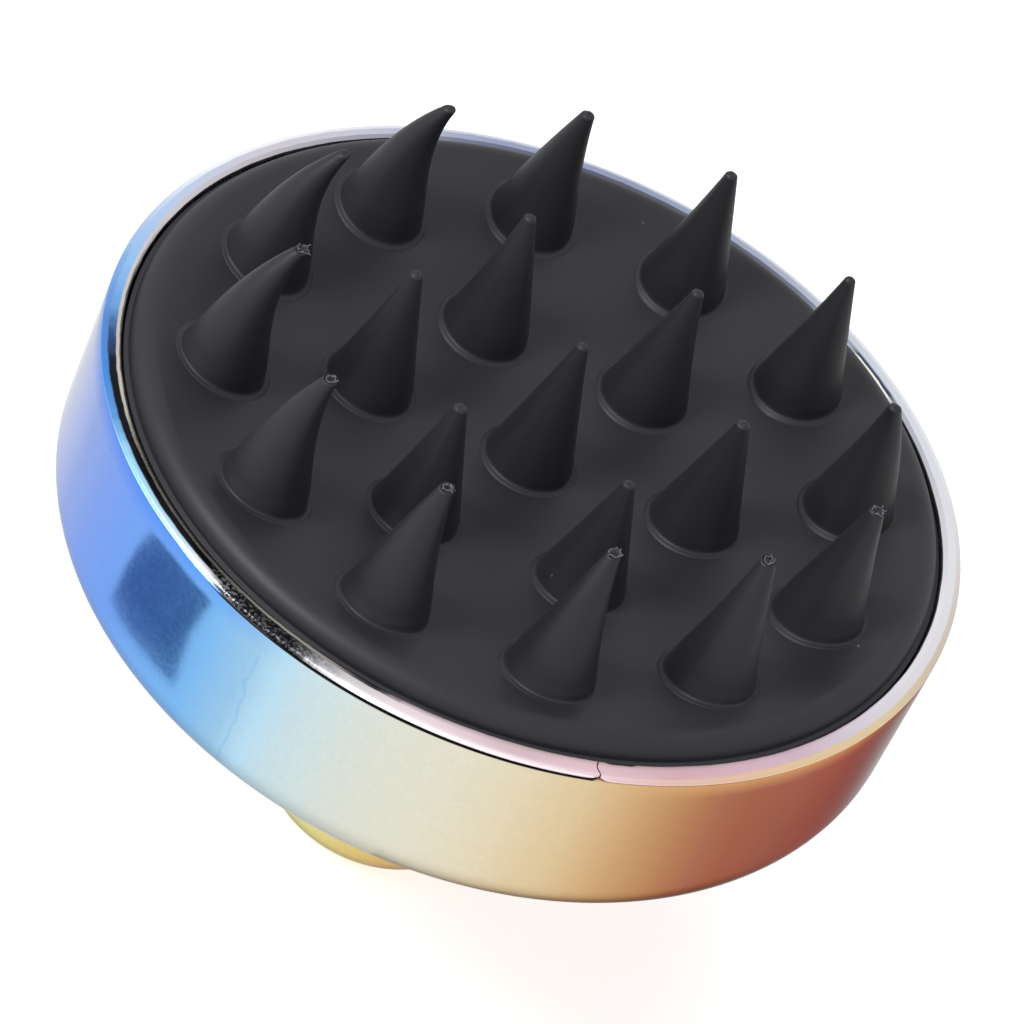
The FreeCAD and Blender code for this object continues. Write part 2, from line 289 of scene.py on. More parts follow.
shellTone = {
    # close under the ring the blue side is deeper, as a painted reflection, and the rust side more golden:
    # the colour and its share, between which depths below the ring's flat it grows, and between which
    # distances across the brush
    "blue": (58, 120, 222),
    "rimReflectionShare": 0.55,
    "rimReflectionDepths": (2.6 * mm, 0.6 * mm),
    "rimReflectionSpan": (-12 * mm, -24 * mm),
    "gold": (232, 188, 122),
    "goldShare": 0.4,
    "goldDepths": (2.2 * mm, 0.7 * mm),
    "goldSpan": (14 * mm, 26 * mm),
    # left of the split the shell's top edge is painted near black, as shade in the gap under the ring, taller
    # at its far end
    "gap": (20, 18, 22),
    "gapShadeStart": -122.5,
    "gapShadeEnd": -69.3,
    "gapShadeGrows": 0.16 * mm,
    "gapShadeDepths": (0.58 * mm, 0.5 * mm),
    # a faint wavy line where the blue plating ends
    "ripple": (104, 150, 196),
    "rippleShare": 0.28,
    "rippleAt": -15.4 * mm,
    "rippleSway": 1.6 * mm,
    "rippleScale": 300.0,
    "rippleWidth": (0.22 * mm, 0.04 * mm),
    "rippleDepths": (2.2 * mm, 3.4 * mm),
}


def shellTones(graph, position, colour):
    tone = shellTone
    parts = graph.add("ShaderNodeSeparateXYZ", None, {0: position})
    up, along = graph.also(parts, "Z"), graph.also(parts, "Y")
    angle = along.math("ARCTAN2", parts) * (180 / math.pi)

    def deep(name, height=up):
        low, high = tone[name]
        return between(height, rimHeight - low, rimHeight - high)

    # painted reflection: the blue side goes a deeper blue just under the ring
    blue = deep("rimReflectionDepths") * between(parts, *tone["rimReflectionSpan"])
    colour = mixed(graph, blue * tone["rimReflectionShare"], colour, linear(*tone["blue"]))
    gold = deep("goldDepths") * between(parts, *tone["goldSpan"])
    colour = mixed(graph, gold * tone["goldShare"], colour, linear(*tone["gold"]))
    wobble = noise(graph, position, tone["rippleScale"])
    off = (parts - tone["rippleAt"] + (wobble - 0.5) * tone["rippleSway"]).math("ABSOLUTE")
    ripple = between(off, *tone["rippleWidth"]) * deep("rippleDepths") * between(along, 0.0, -20 * mm)
    colour = mixed(graph, ripple * tone["rippleShare"], colour, linear(*tone["ripple"]))
    # painted shade: left of the split the top of the shell's wall goes near black where the gap under the
    # ring lies in shadow
    grown = between(angle, tone["gapShadeEnd"], tone["gapShadeStart"]) * tone["gapShadeGrows"]
    gap = deep("gapShadeDepths", up + grown)
    gap = gap * between(angle, tone["gapShadeStart"] - 1, tone["gapShadeStart"] + 2)
    gap = gap * between(angle, tone["gapShadeEnd"], tone["gapShadeEnd"] - 0.4)
    return mixed(graph, gap, colour, linear(*tone["gap"]))


def platedMaterial(name, stops, edgeTint, shell=False):
    material, graph = newMaterial(name)
    position = graph.also(graph.add("ShaderNodeTexCoord"), "Object")
    colour = acrossRamp(graph, position, stops, plating["wander"])
    if shell:
        colour = shellTones(graph, position, colour)
    grain = noise(graph, position, plating["grain"])
    flecks = graph.add("ShaderNodeTexVoronoi", None, {"Vector": position, "Scale": plating["speckle"]})
    mottle = noise(graph, position, plating["mottle"], 4.0)
    speckled = mixed(graph, flecks * plating["speckleShare"], colour, linear(*plating["speckleColour"]))
    rough = plating["roughness"] + (grain - 0.5) * plating["roughnessGrain"] * 2
    rough = rough + (mottle - 0.5) * plating["roughnessMottle"]
    normal = bumped(graph, grain, 0.003 * mm, 0.6)
    normal = bumped(graph, mottle, 0.012 * mm, 0.3, normal)
    shader = graph.add("ShaderNodeBsdfPrincipled", None, {
        "Base Color": speckled, "Metallic": 1.0, "Roughness": rough, "Normal": normal,
        "Specular Tint": (*edgeTint, 1), "Coat Weight": plating["coat"], "Coat Roughness": 0.06,
    })
    finishMaterial(graph, shader)
    return material


ringColoursAndReflections = {
    # angle round the ring in degrees from +X, and the colour there: outside, middle, inside; the plating's
    # own pink, gold and
    # blue with painted reflections: near-black stretches are painted dark reflections and shade, near-white
    # ones painted highlights
    "outer": [
        (-180, (140, 180, 234)), (-168, (92, 140, 208)), (-158, (76, 140, 218)), (-151, (96, 152, 214)),
        (-143, (160, 216, 246)), (-130, (196, 228, 246)), (-124, (236, 240, 244)), (-122, (60, 60, 66)),
        (-119, (24, 24, 28)), (-109, (26, 26, 30)), (-105, (190, 190, 194)), (-102, (246, 244, 246)),
        (-90, (240, 226, 232)),
        (-80, (238, 218, 225)), (-70, (232, 206, 214)), (-60, (224, 188, 184)), (-50, (226, 192, 168)),
        (-40, (224, 198, 160)), (-25, (220, 201, 165)), (-10, (206, 191, 173)), (0, (209, 196, 190)),
        (12, (220, 214, 216)), (30, (228, 230, 234)), (50, (228, 230, 238)), (70, (208, 214, 226)),
        (90, (209, 213, 228)), (115, (212, 216, 232)), (135, (240, 240, 246)), (155, (244, 248, 252)),
        (180, (140, 180, 234)),
    ],
    "middle": [
        (-180, (150, 195, 240)), (-171, (110, 165, 225)), (-166, (60, 90, 140)), (-160, (22, 26, 38)),
        (-150, (16, 18, 26)), (-125, (18, 20, 26)), (-109, (20, 20, 24)), (-105, (170, 168, 172)),
        (-102, (238, 232, 235)), (-96, (244, 232, 237)), (-88, (240, 220, 228)),
        (-70, (234, 202, 212)), (-55, (226, 188, 200)), (-40, (214, 188, 201)), (-30, (212, 205, 216)),
        (-18, (220, 216, 220)), (10, (224, 225, 230)), (35, (215, 218, 226)), (50, (204, 210, 220)),
        (65, (170, 178, 196)), (90, (149, 156, 180)), (110, (157, 164, 194)), (130, (200, 199, 214)),
        (145, (209, 202, 214)), (165, (190, 206, 236)), (180, (150, 195, 240)),
    ],
    "inner": [
        (-180, (206, 203, 204)), (-165, (200, 192, 186)), (-150, (205, 198, 186)), (-130, (200, 194, 182)),
        (-112, (188, 182, 172)), (-104, (176, 170, 164)), (-101, (90, 86, 88)), (-98, (60, 58, 60)),
        (-95, (218, 202, 206)), (-80, (232, 208, 210)), (-60, (224, 190, 197)),
        (-40, (212, 186, 198)), (-20, (222, 218, 228)), (0, (228, 226, 232)), (20, (205, 204, 208)),
        (35, (176, 178, 190)), (50, (166, 171, 187)), (62, (113, 118, 136)), (75, (88, 94, 114)),
        (100, (90, 95, 118)), (115, (120, 126, 146)), (130, (160, 158, 171)), (150, (190, 186, 192)),
        (165, (203, 198, 204)), (180, (206, 203, 204)),
    ],
    # angle, and the share of painted glints on the hammered surface there
    "flecks": [
        (-180, 0.0), (-125, 0.0), (-122, 0.5), (-118, 0.12), (-110, 0.08), (-107, 0.3), (-103, 0.5),
        (-99, 0.15), (-97, 0.0), (180, 0.0),
    ],
    "glintColour": (232, 234, 238),
    # how far in from the rim each band begins and is whole
    "outerBand": (0.66 * mm, 0.5 * mm),
    "innerBand": (1.26 * mm, 1.36 * mm),
    "bandSway": 0.2 * mm,
    # left of the split a painted highlight runs along the outer edge
    "highlightLine": (-104.0, -69.3),
    # where the inner lip is flared it carries a painted cream highlight, with a painted shade line outside it
    "flareHighlight": (252, 248, 240),
    "flareHighlightBand": (1.74 * mm, 1.84 * mm),
    "flareShade": (58, 70, 92),
    "flareShadeBand": (1.4 * mm, 1.5 * mm),
    # on the blue side the innermost edge is painted dark, as shade between the ring and the pad
    "edgeShade": (26, 26, 30),
    "edgeShadeShare": 0.85,
    "edgeShadeBand": (1.58 * mm, 1.66 * mm),
    # angle, and the roughness there: the front is matt
    "roughness": [(-180, 0.28), (-126, 0.26), (-108, 0.5), (-45, 0.5), (-20, 0.34), (60, 0.28), (180, 0.28)],
    "hammer": 900.0,
    "spots": 3600.0,
    "streaks": 700.0,
    "grain": 2400.0,
}


def ringMaterial():
    tone = ringColoursAndReflections
    material, graph = newMaterial("platedRing")
    position = graph.also(graph.add("ShaderNodeTexCoord"), "Object")
    parts = graph.add("ShaderNodeSeparateXYZ", None, {0: position})
    along, up = graph.also(parts, "Y"), graph.also(parts, "Z")
    streaks = noise(graph, position, tone["streaks"], 4.0)
    place = along.math("ARCTAN2", parts) / (2 * math.pi) + 0.5 + (streaks - 0.5) * 0.012
    bands = {}
    # these bands hold the plating's own colour with painted reflections, shade and highlights in it
    for band in ("outer", "middle", "inner"):
        stops = [((a + 180) / 360, linear(*colour)) for a, colour in tone[band]]
        bands[band] = graph.add("ShaderNodeValToRGB", {"stops": stops}, {0: place})
    for band in ("flecks", "roughness"):
        stops = [((a + 180) / 360, (value, value, value, 1)) for a, value in tone[band]]
        bands[band] = graph.add("ShaderNodeValToRGB", {"stops": stops}, {0: place})
    spots = noise(graph, position, tone["spots"])
    plain = (parts * parts + along * along) ** 0.5
    radius = plain + (streaks - 0.5) * tone["bandSway"]

    def fromRim(name):
        start, whole = tone[name]
        return between(radius, rimRadius - start, rimRadius - whole)

    colour = mixed(graph, fromRim("outerBand"), bands["middle"], bands["outer"])
    # painted glints on the hammered surface, within the dark reflected band
    flecks = bands["flecks"] * between(spots, 0.5, 0.6)
    colour = mixed(graph, flecks, colour, linear(*tone["glintColour"]))
    colour = mixed(graph, fromRim("innerBand"), colour, bands["inner"])
    # painted highlight along the outer edge, left of the split
    start, end = [(angle + 180) / 360 for angle in tone["highlightLine"]]
    line = between(plain, rimRadius - 0.14 * mm, rimRadius - 0.08 * mm)
    line = line * between(up, rimHeight - 0.2 * mm, rimHeight - 0.1 * mm)
    line = line * between(place, start, start + 0.02) * between(place, end + 0.002, end - 0.002)
    colour = mixed(graph, line, colour, (1, 1, 1, 1))
    # painted cream highlight on the flared lip, with a painted shade line outside it
    start, end = [(angle + 180) / 360 for angle in ringSize["flareSpan"]]
    span = between(place, start - 0.002, start + 0.004) * between(place, end + 0.002, end - 0.004)
    colour = mixed(graph, span * fromRim("flareShadeBand"), colour, linear(*tone["flareShade"]))
    colour = mixed(graph, span * fromRim("flareHighlightBand"), colour, linear(*tone["flareHighlight"]))
    # painted shade along the innermost edge on the blue side
    edge = fromRim("edgeShadeBand") * between(parts, 2 * mm, -8 * mm) * between(along, 8 * mm, -2 * mm)
    colour = mixed(graph, edge * tone["edgeShadeShare"], colour, linear(*tone["edgeShade"]))
    hammer = graph.add(
        "ShaderNodeTexVoronoi", {"feature": "SMOOTH_F1"},
        {"Vector": position, "Scale": tone["hammer"], "Smoothness": 0.6},
    )
    grain = noise(graph, position, tone["grain"])
    normal = bumped(graph, hammer, 0.02 * mm, 0.5)
    normal = bumped(graph, grain, 0.004 * mm, 0.5, normal)
    shader = graph.add("ShaderNodeBsdfPrincipled", None, {
        "Base Color": colour, "Metallic": 1.0, "Roughness": bands["roughness"] + (grain - 0.5) * 0.12,
        "Normal": normal,
    })
    finishMaterial(graph, shader)
    return material


silicone = {
    "pad": (30, 30, 35),
    "bristle": (28, 28, 32),
    # each colour runs this far darker and lighter over the surface
    "darker": 3,
    "lighter": 5,
    "flash": ((88, 88, 92), (104, 104, 107)),
    "roughness": 0.52,
    "specular": 0.32,
    "cloud": 90.0,
    "grain": 3200.0,
    # dust: its scale, the size of a speck, the share of places without one, and how much it shows
    "dustScale": 520.0,
    "dustSize": 0.06,
    "dustFree": 0.97,
    "dustShare": 0.5,
    "dustColour": (120, 120, 122),
}


def siliconeMaterial(name, colour):
    material, graph = newMaterial(name)
    position = graph.also(graph.add("ShaderNodeTexCoord"), "Object")
    cloud = noise(graph, position, silicone["cloud"], 5.0)
    grain = noise(graph, position, silicone["grain"])
    dust = graph.add(
        "ShaderNodeTexVoronoi", None, {"Vector": position, "Scale": silicone["dustScale"], "Randomness": 1.0},
    )
    chosen = graph.add("ShaderNodeTexWhiteNoise", None, {"Vector": graph.also(dust, "Position")})
    speck = dust.math("LESS_THAN", silicone["dustSize"]) * chosen.math("GREATER_THAN", silicone["dustFree"])
    dark = linear(*[v - silicone["darker"] for v in colour])
    light = linear(*[v + silicone["lighter"] for v in colour])
    base = mixed(graph, cloud, dark, light)
    dusty = mixed(graph, speck * silicone["dustShare"], base, linear(*silicone["dustColour"]))
    rough = (cloud - 0.5) * 0.14 + (grain - 0.5) * 0.12 + silicone["roughness"]
    normal = bumped(graph, grain, 0.01 * mm, 0.5)
    normal = bumped(graph, cloud, 0.12 * mm, 0.3, normal)
    shader = graph.add("ShaderNodeBsdfPrincipled", None, {
        "Base Color": dusty, "Roughness": rough, "Normal": normal, "Specular IOR Level": silicone["specular"],
    })
    finishMaterial(graph, shader)
    return material


def flashMaterial():
    # the thin torn skin at the bristle tips, paler than the body because it is thin
    material, graph = newMaterial("siliconeFlash")
    position = graph.also(graph.add("ShaderNodeTexCoord"), "Object")
    grain = noise(graph, position, 2000.0)
    dark, light = silicone["flash"]
    shader = graph.add("ShaderNodeBsdfPrincipled", None, {
        "Base Color": mixed(graph, grain, linear(*dark), linear(*light)),
        "Roughness": (grain - 0.5) * 0.2 + 0.5, "Normal": bumped(graph, grain, 0.02 * mm),
    })
    finishMaterial(graph, shader)
    return material


insideFinish = {
    "carrier": ((44, 44, 46), (56, 56, 59)),
    "steel": ((188, 190, 196), (214, 215, 218)),
    # the marks that turning leaves on the steel, drawn out along the screw
    "steelStretch": (1.0, 1.0, 9.0),
}


def mouldedMaterial():
    material, graph = newMaterial("carrierPlastic")
    position = graph.also(graph.add("ShaderNodeTexCoord"), "Object")
    cloud = noise(graph, position, 60.0, 4.0)
    spark = noise(graph, position, 2200.0)
    dark, light = insideFinish["carrier"]
    shader = graph.add("ShaderNodeBsdfPrincipled", None, {
        "Base Color": mixed(graph, cloud, linear(*dark), linear(*light)),
        "Roughness": (spark - 0.5) * 0.2 + 0.55, "Normal": bumped(graph, spark, 0.02 * mm),
    })
    finishMaterial(graph, shader)
    return material


def steelMaterial():
    material, graph = newMaterial("screwSteel")
    position = graph.also(graph.add("ShaderNodeTexCoord"), "Object")
    stretched = graph.add("ShaderNodeMapping", None, {0: position, 3: insideFinish["steelStretch"]})
    turned = noise(graph, stretched, 900.0)
    dark, light = insideFinish["steel"]
    shader = graph.add("ShaderNodeBsdfPrincipled", None, {
        "Base Color": mixed(graph, turned, linear(*dark), linear(*light)), "Metallic": 1.0,
        "Roughness": (turned - 0.5) * 0.2 + 0.32, "Normal": bumped(graph, turned, 0.01 * mm),
    })
    finishMaterial(graph, shader)
    return material


# the knob's plating, by distance across the brush in mm
knobStops = [
    (-40, (222, 226, 214)), (-14, (232, 236, 214)), (-9, (234, 234, 184)), (-5, (238, 230, 162)),
    (-1, (244, 224, 150)), (3, (248, 218, 146)), (7, (246, 212, 162)), (11, (240, 206, 184)),
    (40, (214, 180, 176)),
]

shellFinishes = [
    platedMaterial(name, plating["stops"], tint, shell=True)
    for name, tint in zip(("platedShellBlue", "platedShellRust"), plating["edgeTint"])
]
knobFinish = platedMaterial("platedKnob", knobStops, plating["edgeTint"][0])
ringFinish = ringMaterial()
padFinish = siliconeMaterial("siliconePad", silicone["pad"])
bristleFinish = siliconeMaterial("siliconeBristle", silicone["bristle"])
flashFinish = flashMaterial()
carrierFinish = mouldedMaterial()
steelFinish = steelMaterial()
print("materials: made")


# turned pieces


def arcPoints(centre, radius, start, end, count):
    turns = np.radians(np.linspace(start, end, count))
    return [(centre[0] + radius * math.cos(t), centre[1] + radius * math.sin(t)) for t in turns]


def spread(start, end, count):
    # points along a straight stretch, without its first one
    start, end = np.array(start), np.array(end)
    return [tuple(start + (end - start) * k / count) for k in range(1, count + 1)]


def meshObject(name, points, faces, material, smoothAngle=40.0):
    mesh = bpy.data.meshes.new(name)
    mesh.from_pydata(points, [], faces)
    mesh.validate()
    mesh.materials.append(material)
    mesh.shade_smooth()
    mesh.set_sharp_from_angle(angle=math.radians(smoothAngle))
    piece = bpy.data.objects.new(name, mesh)
    bpy.context.scene.collection.objects.link(piece)
    return piece


def turned(name, profile, steps, material, smoothAngle=40.0):
    # profile: (radius, height) pairs that go round the section with the solid on their left
    rings, points, faces = [], [], []
    for radius, height in profile:
        if radius < 1e-9:
            rings.append([len(points)] * steps)
            points.append((0.0, 0.0, height))
            continue
        rings.append(list(range(len(points), len(points) + steps)))
        for k in range(steps):
            angle = 2 * math.pi * k / steps
            points.append((radius * math.cos(angle), radius * math.sin(angle), height))
    for lower, upper in zip(rings, rings[1:] + rings[:1]):
        if len(set(lower)) == 1 and len(set(upper)) == 1:
            continue
        for k in range(steps):
            n = (k + 1) % steps
            corners = [lower[k], lower[n], upper[n], upper[k]]
            faces.append([c for i, c in enumerate(corners) if c not in corners[:i]])
    return meshObject(name, points, faces, material, smoothAngle)


shellSize = {
    "wall": 1.2 * mm,
    "wallDepth": 14.1 * mm,
    "taper": 0.15 * mm,
    "cornerRadius": 4.7 * mm,
    "backRadius": 155.0 * mm,
    "rimRound": 0.12 * mm,
    "seatRadius": 12.7 * mm,
    "seatDepth": 0.8 * mm,
    "steps": 320,
}
wallFoot = rimHeight - shellSize["wallDepth"]
footRadius = rimRadius - shellSize["taper"]
cornerCentre = (footRadius - shellSize["cornerRadius"], wallFoot)
backCentre = wallFoot + math.sqrt(
    (shellSize["backRadius"] - shellSize["cornerRadius"]) ** 2 - cornerCentre[0] ** 2
)


def backAt(radius, inset=0.0):
    # the height of the domed back, at a distance from the axis
    return backCentre - math.sqrt((shellSize["backRadius"] - inset) ** 2 - radius ** 2)


def backShell():
    # a nearly straight wall, a round corner and a shallow dome, with the flat seat for the knob
    size = shellSize
    top = shellHigh.z
    corner = cornerCentre
    meetAngle = math.degrees(math.asin(corner[0] / (size["backRadius"] - size["cornerRadius"])))
    seat = backAt(knobSize["baseRadius"]) + size["seatDepth"]
    wall = size["wall"]
    seatEdge = size["seatRadius"]
    outer = [(0.0, seat), (seatEdge, seat), (seatEdge, backAt(seatEdge) + 0.1 * mm)]
    start = seatEdge + 0.12 * mm
    meet = size["backRadius"] * math.sin(math.radians(meetAngle))
    outer += [(r, backAt(r)) for r in np.linspace(start, meet, 14)]
    outer += arcPoints(corner, size["cornerRadius"], meetAngle - 90, 0, 14)[1:]
    lip = size["rimRound"]
    outer += spread((footRadius, wallFoot), (rimRadius, top - lip), 8)
    outer += arcPoints((rimRadius - lip, top - lip), lip, 0, 90, 6)[1:]
    outer += [(rimRadius - wall, top)]
    inner = spread((rimRadius - wall, top), (footRadius - wall, wallFoot), 4)
    inner += arcPoints(corner, size["cornerRadius"] - wall, 0, meetAngle - 90, 8)[1:]
    meetIn = corner[0] + (size["cornerRadius"] - wall) * math.sin(math.radians(meetAngle))
    inner += [(r, backAt(r, wall)) for r in np.linspace(meetIn, seatEdge + wall, 6)[1:]]
    inner += [(seatEdge + wall, seat + wall), (0.0, seat + wall)]
    piece = turned("backShell", outer + inner, size["steps"], shellFinishes[0])
    # the rust half has its own finish
    piece.data.materials.append(shellFinishes[1])
    for face in piece.data.polygons:
        face.material_index = 1 if face.center.x > 0 else 0
    return piece


padSize = {
    "dishRadius": 138.0 * mm,
    "dishDepth": 3.07 * mm,
    "thickness": 2.0 * mm,
    "sideWall": 1.5 * mm,
    "edgeRadius": 1.8 * mm,
    "gap": 0.65 * mm,
    "flangeThickness": 1.15 * mm,
    # outside the shoulder a narrow ledge runs out to the ring, this far under its flat
    "ledgeDepth": 0.32 * mm,
    "ledgeGap": 0.2 * mm,
    "ledgeThickness": 0.9 * mm,
    "legGap": 0.14 * mm,
    "steps": 256,
}
dishCentre = rimHeight - padSize["dishDepth"] + padSize["dishRadius"]


def dishAt(radius, inset=0.0):
    return dishCentre - math.sqrt((padSize["dishRadius"] + inset) ** 2 - radius ** 2)


def padSheet():
    # the dished face, a round shoulder, and the flange under the trim ring
    size = padSize
    edge = rimRadius - ringSize["width"] - size["gap"]
    flangeRadius = padHigh.x
    legFoot = ringLow.z - 0.05 * mm
    flangeBottom = legFoot - size["flangeThickness"]
    crownX = edge - size["edgeRadius"]
    crown = (crownX, dishAt(crownX, size["edgeRadius"]))
    slope = math.degrees(math.asin(crownX / (size["dishRadius"] + size["edgeRadius"])))
    faceEnd = crownX - size["edgeRadius"] * math.sin(math.radians(slope))
    inside = edge - size["sideWall"]
    profile = [(r, dishAt(r, size["thickness"])) for r in np.linspace(0, inside, 12)]
    profile += [(inside, flangeBottom), (flangeRadius, flangeBottom), (flangeRadius, legFoot)]
    ledge = rimHeight - size["ledgeDepth"]
    legInside = rimRadius - ringSize["width"] - ringSize["draft"] - size["legGap"]
    ledgeOut = rimRadius - ringSize["width"] - size["ledgeGap"]
    ledgeFoot = ledge - size["ledgeThickness"]
    profile += [(legInside, legFoot), (legInside, ledgeFoot - 0.5 * mm), (ledgeOut, ledgeFoot)]
    profile += [(ledgeOut, ledge - 0.05 * mm), (ledgeOut - 0.05 * mm, ledge), (edge + 0.03 * mm, ledge)]
    profile += spread((edge + 0.03 * mm, ledge), (edge, crown[1]), 3)
    profile += arcPoints(crown, size["edgeRadius"], 0, 90 + slope, 20)[1:]
    profile += [(r, dishAt(r)) for r in np.linspace(faceEnd, 0, 40)[1:]]
    return turned("padSheet", profile, size["steps"], padFinish, 60.0)


knobSize = {
    "crownRadius": 6.8 * mm,
    "crownEdge": 4.34 * mm,
    "headRound": 6.0 * mm,
    "neckRadius": 7.2 * mm,
    "neckRound": 6.4 * mm,
    "baseRadius": 12.6 * mm,
    "cavityRadius": 6.05 * mm,
    "cavityDepth": 2.0 * mm,
    "steps": 160,
}


def knobBody():
    # a waisted knob with a rounded head, open at the crown for its cap
    size = knobSize
    head = size["crownRadius"] + size["crownEdge"]
    shoulder = (head - size["headRound"], size["crownEdge"])
    hollowX = size["neckRadius"] + size["neckRound"]
    span = size["headRound"] + size["neckRound"]
    lean = math.degrees(math.acos((hollowX - shoulder[0]) / span))
    hollow = (hollowX, size["crownEdge"] + span * math.sin(math.radians(lean)))
    flareTurn = math.degrees(math.acos((hollowX - size["baseRadius"]) / size["neckRound"]))
    baseEdge = backAt(size["baseRadius"])
    flare = (hollowX, baseEdge - size["neckRound"] * math.sin(math.radians(flareTurn)))
    top = baseEdge + shellSize["seatDepth"] - 0.05 * mm
    profile = [(0.0, size["cavityDepth"]), (size["cavityRadius"], size["cavityDepth"])]
    profile += [(size["cavityRadius"], 0.08 * mm), (size["cavityRadius"] + 0.08 * mm, 0.0)]
    profile += [(size["crownRadius"], 0.0)]
    profile += arcPoints((size["crownRadius"], size["crownEdge"]), size["crownEdge"], -90, 0, 12)[1:]
    profile += arcPoints(shoulder, size["headRound"], 0, lean, 12)[1:]
    profile += arcPoints(hollow, size["neckRound"], 180 + lean, 180, 12)[1:]
    profile += spread((size["neckRadius"], hollow[1]), (size["neckRadius"], flare[1]), 3)
    profile += arcPoints(flare, size["neckRound"], 180, 180 - flareTurn, 14)[1:]
    profile += [(size["baseRadius"], top), (0.0, top)]
    return turned("knobBody", profile, size["steps"], knobFinish)


capSize = {
    "edgeRound": 0.25 * mm,
    "shy": 0.05 * mm,
    "steps": 96,
}


def knobCap():
    edge, lip = capHigh.x, capSize["edgeRound"]
    top = knobSize["cavityDepth"] - capSize["shy"]
    profile = [(0.0, 0.0), (edge - lip, 0.0)]
    profile += arcPoints((edge - lip, lip), lip, -90, 0, 5)[1:]
    profile += [(edge, top), (0.0, top)]
    return turned("knobCap", profile, capSize["steps"], knobFinish)


# the trim ring, split at the front


def ringSection(angle, ragged):
    # the section of the ring at an angle in degrees: its lit faces first, then its hidden ones
    size = ringSize
    before = (size["splitAngle"] - angle) % 360
    lift = size["lift"] * (1 - min(before / size["liftSpan"], 1.0) ** 3)
    off = abs((angle - size["sinkMiddle"] + 180) % 360 - 180)
    sink = size["sink"] * math.cos(min(off / size["sinkSpan"], 1.0) * math.pi / 2) ** 2
    bottom = rimHeight - size["thickness"] + lift
    top = rimHeight + 0.25 * lift
    inner = rimRadius - size["width"] + ragged
    edge, lip = size["outerRound"], size["innerRound"]
    outer = rimRadius - 0.01 * mm
    section = [(outer, bottom)]
    section += arcPoints((outer - edge, top - edge), edge, 10, 90, 7)
    flatEnd = inner + lip
    section += [
        (flatEnd + (outer - edge - flatEnd) * share, top - sink * (1 - share) ** 2)
        for share in (0.8, 0.6, 0.4, 0.2, 0.0)
    ]
    start, end = size["flareSpan"]
    flare = size["flare"] * max(0.0, min(1.0, (angle - start) / 1.2 + 0.5, (end - angle) / 1.2 + 0.5))
    for k, (radius, height) in enumerate(arcPoints((flatEnd, top - sink - lip), lip, 90, 180, 4)[1:], 1):
        section.append((radius - flare * k / 3, height - 0.6 * flare * k / 3))
    leg = ringLow.z
    section += [(inner - 0.3 * size["draft"], leg + 2.8 * mm), (inner - size["draft"], leg)]
    hidden = len(section) - 1
    legOut = rimRadius - size["legInset"]
    section += [(legOut, leg), (legOut, bottom), (outer - 0.1 * mm, bottom)]
    return section, hidden


def trimRing():
    size = ringSize
    halfGap = math.degrees(size["splitGap"] / 2 / rimRadius)
    angles = np.linspace(size["splitAngle"] + halfGap, size["splitAngle"] + 360 - halfGap, size["steps"])
    source = np.random.default_rng(7)
    ragged = np.convolve(source.normal(0, size["raggedness"], size["steps"] + 4), np.ones(5) / 2.2, "valid")
    points, faces = [], []
    for k, angle in enumerate(angles):
        turn = math.radians(angle)
        angle = (angle + 180) % 360 - 180
        section, hidden = ringSection(angle, ragged[k] + (size["chip"] if 1 < k < 7 else 0))
        near = min(k, size["steps"] - 1 - k)
        fade = max(0.0, 1 - near / 3)
        for radius, height in section:
            radius = min(radius, rimRadius - size["corner"] * max(0.0, 1 - near / 2) ** 2)
            wave = math.sin((rimRadius - radius) * size["swayTurns"] / mm)
            sway = size["sway"] / rimRadius * wave * fade
            points.append((radius * math.cos(turn + sway), radius * math.sin(turn + sway), height))
    count = len(section)
    for k in range(size["steps"] - 1):
        for i in range(count):
            j = (i + 1) % count
            faces.append([k * count + i, k * count + j, (k + 1) * count + j, (k + 1) * count + i])
    faces.append(list(range(count))[::-1])
    faces.append([(size["steps"] - 1) * count + i for i in range(count)])
    piece = meshObject("trimRing", points, faces, ringFinish, 50.0)
    piece.data.materials.append(carrierFinish)
    for k in range(size["steps"] - 1):
        for i in range(hidden, count):
            piece.data.polygons[k * count + i].material_index = 1
    piece.data.flip_normals()
    return piece


# bristles, by Geometry Nodes

bristleSize = {
    "base": 4.02 * mm,
    "sides": 48,
    "rows": 60,
    # share of the rows, width as a share of the base, and height in mm above the pad's face
    "bead": [(0.0, 1.17, -0.30), (0.04, 1.135, -0.03), (0.075, 1.11, 0.07), (0.11, 1.08, 0.14),
             (0.14, 1.05, 0.18), (0.17, 1.022, 0.235), (0.20, 0.998, 0.38), (0.24, 0.972, 0.80)],
    "waist": 0.22 * mm,
    "tip": 0.62 * mm,
    "tipRow": 0.9,
    # torn tips: the thickness of a thread of flash, how far the ring of it scatters, and its whiskers
    "thread": 0.04 * mm,
    "scatter": (1.3, 1.3, 1.5),
    "whisker": (0.10 * mm, 0.06 * mm, 0.34 * mm),
    "whiskerLean": 1.9,
    "whiskerPlaces": 11,
    "flexStart": 0.9 * mm,
    "flex": 0.45,
}


def added(graph, *vectors):
    total = vectors[0]
    for vector in vectors[1:]:
        total = graph.add("ShaderNodeVectorMath", {"operation": "ADD"}, {0: total, 1: vector})
    return total


def scaled(graph, vector, share):
    return graph.add("ShaderNodeVectorMath", {"operation": "SCALE"}, {0: vector, "Scale": share})


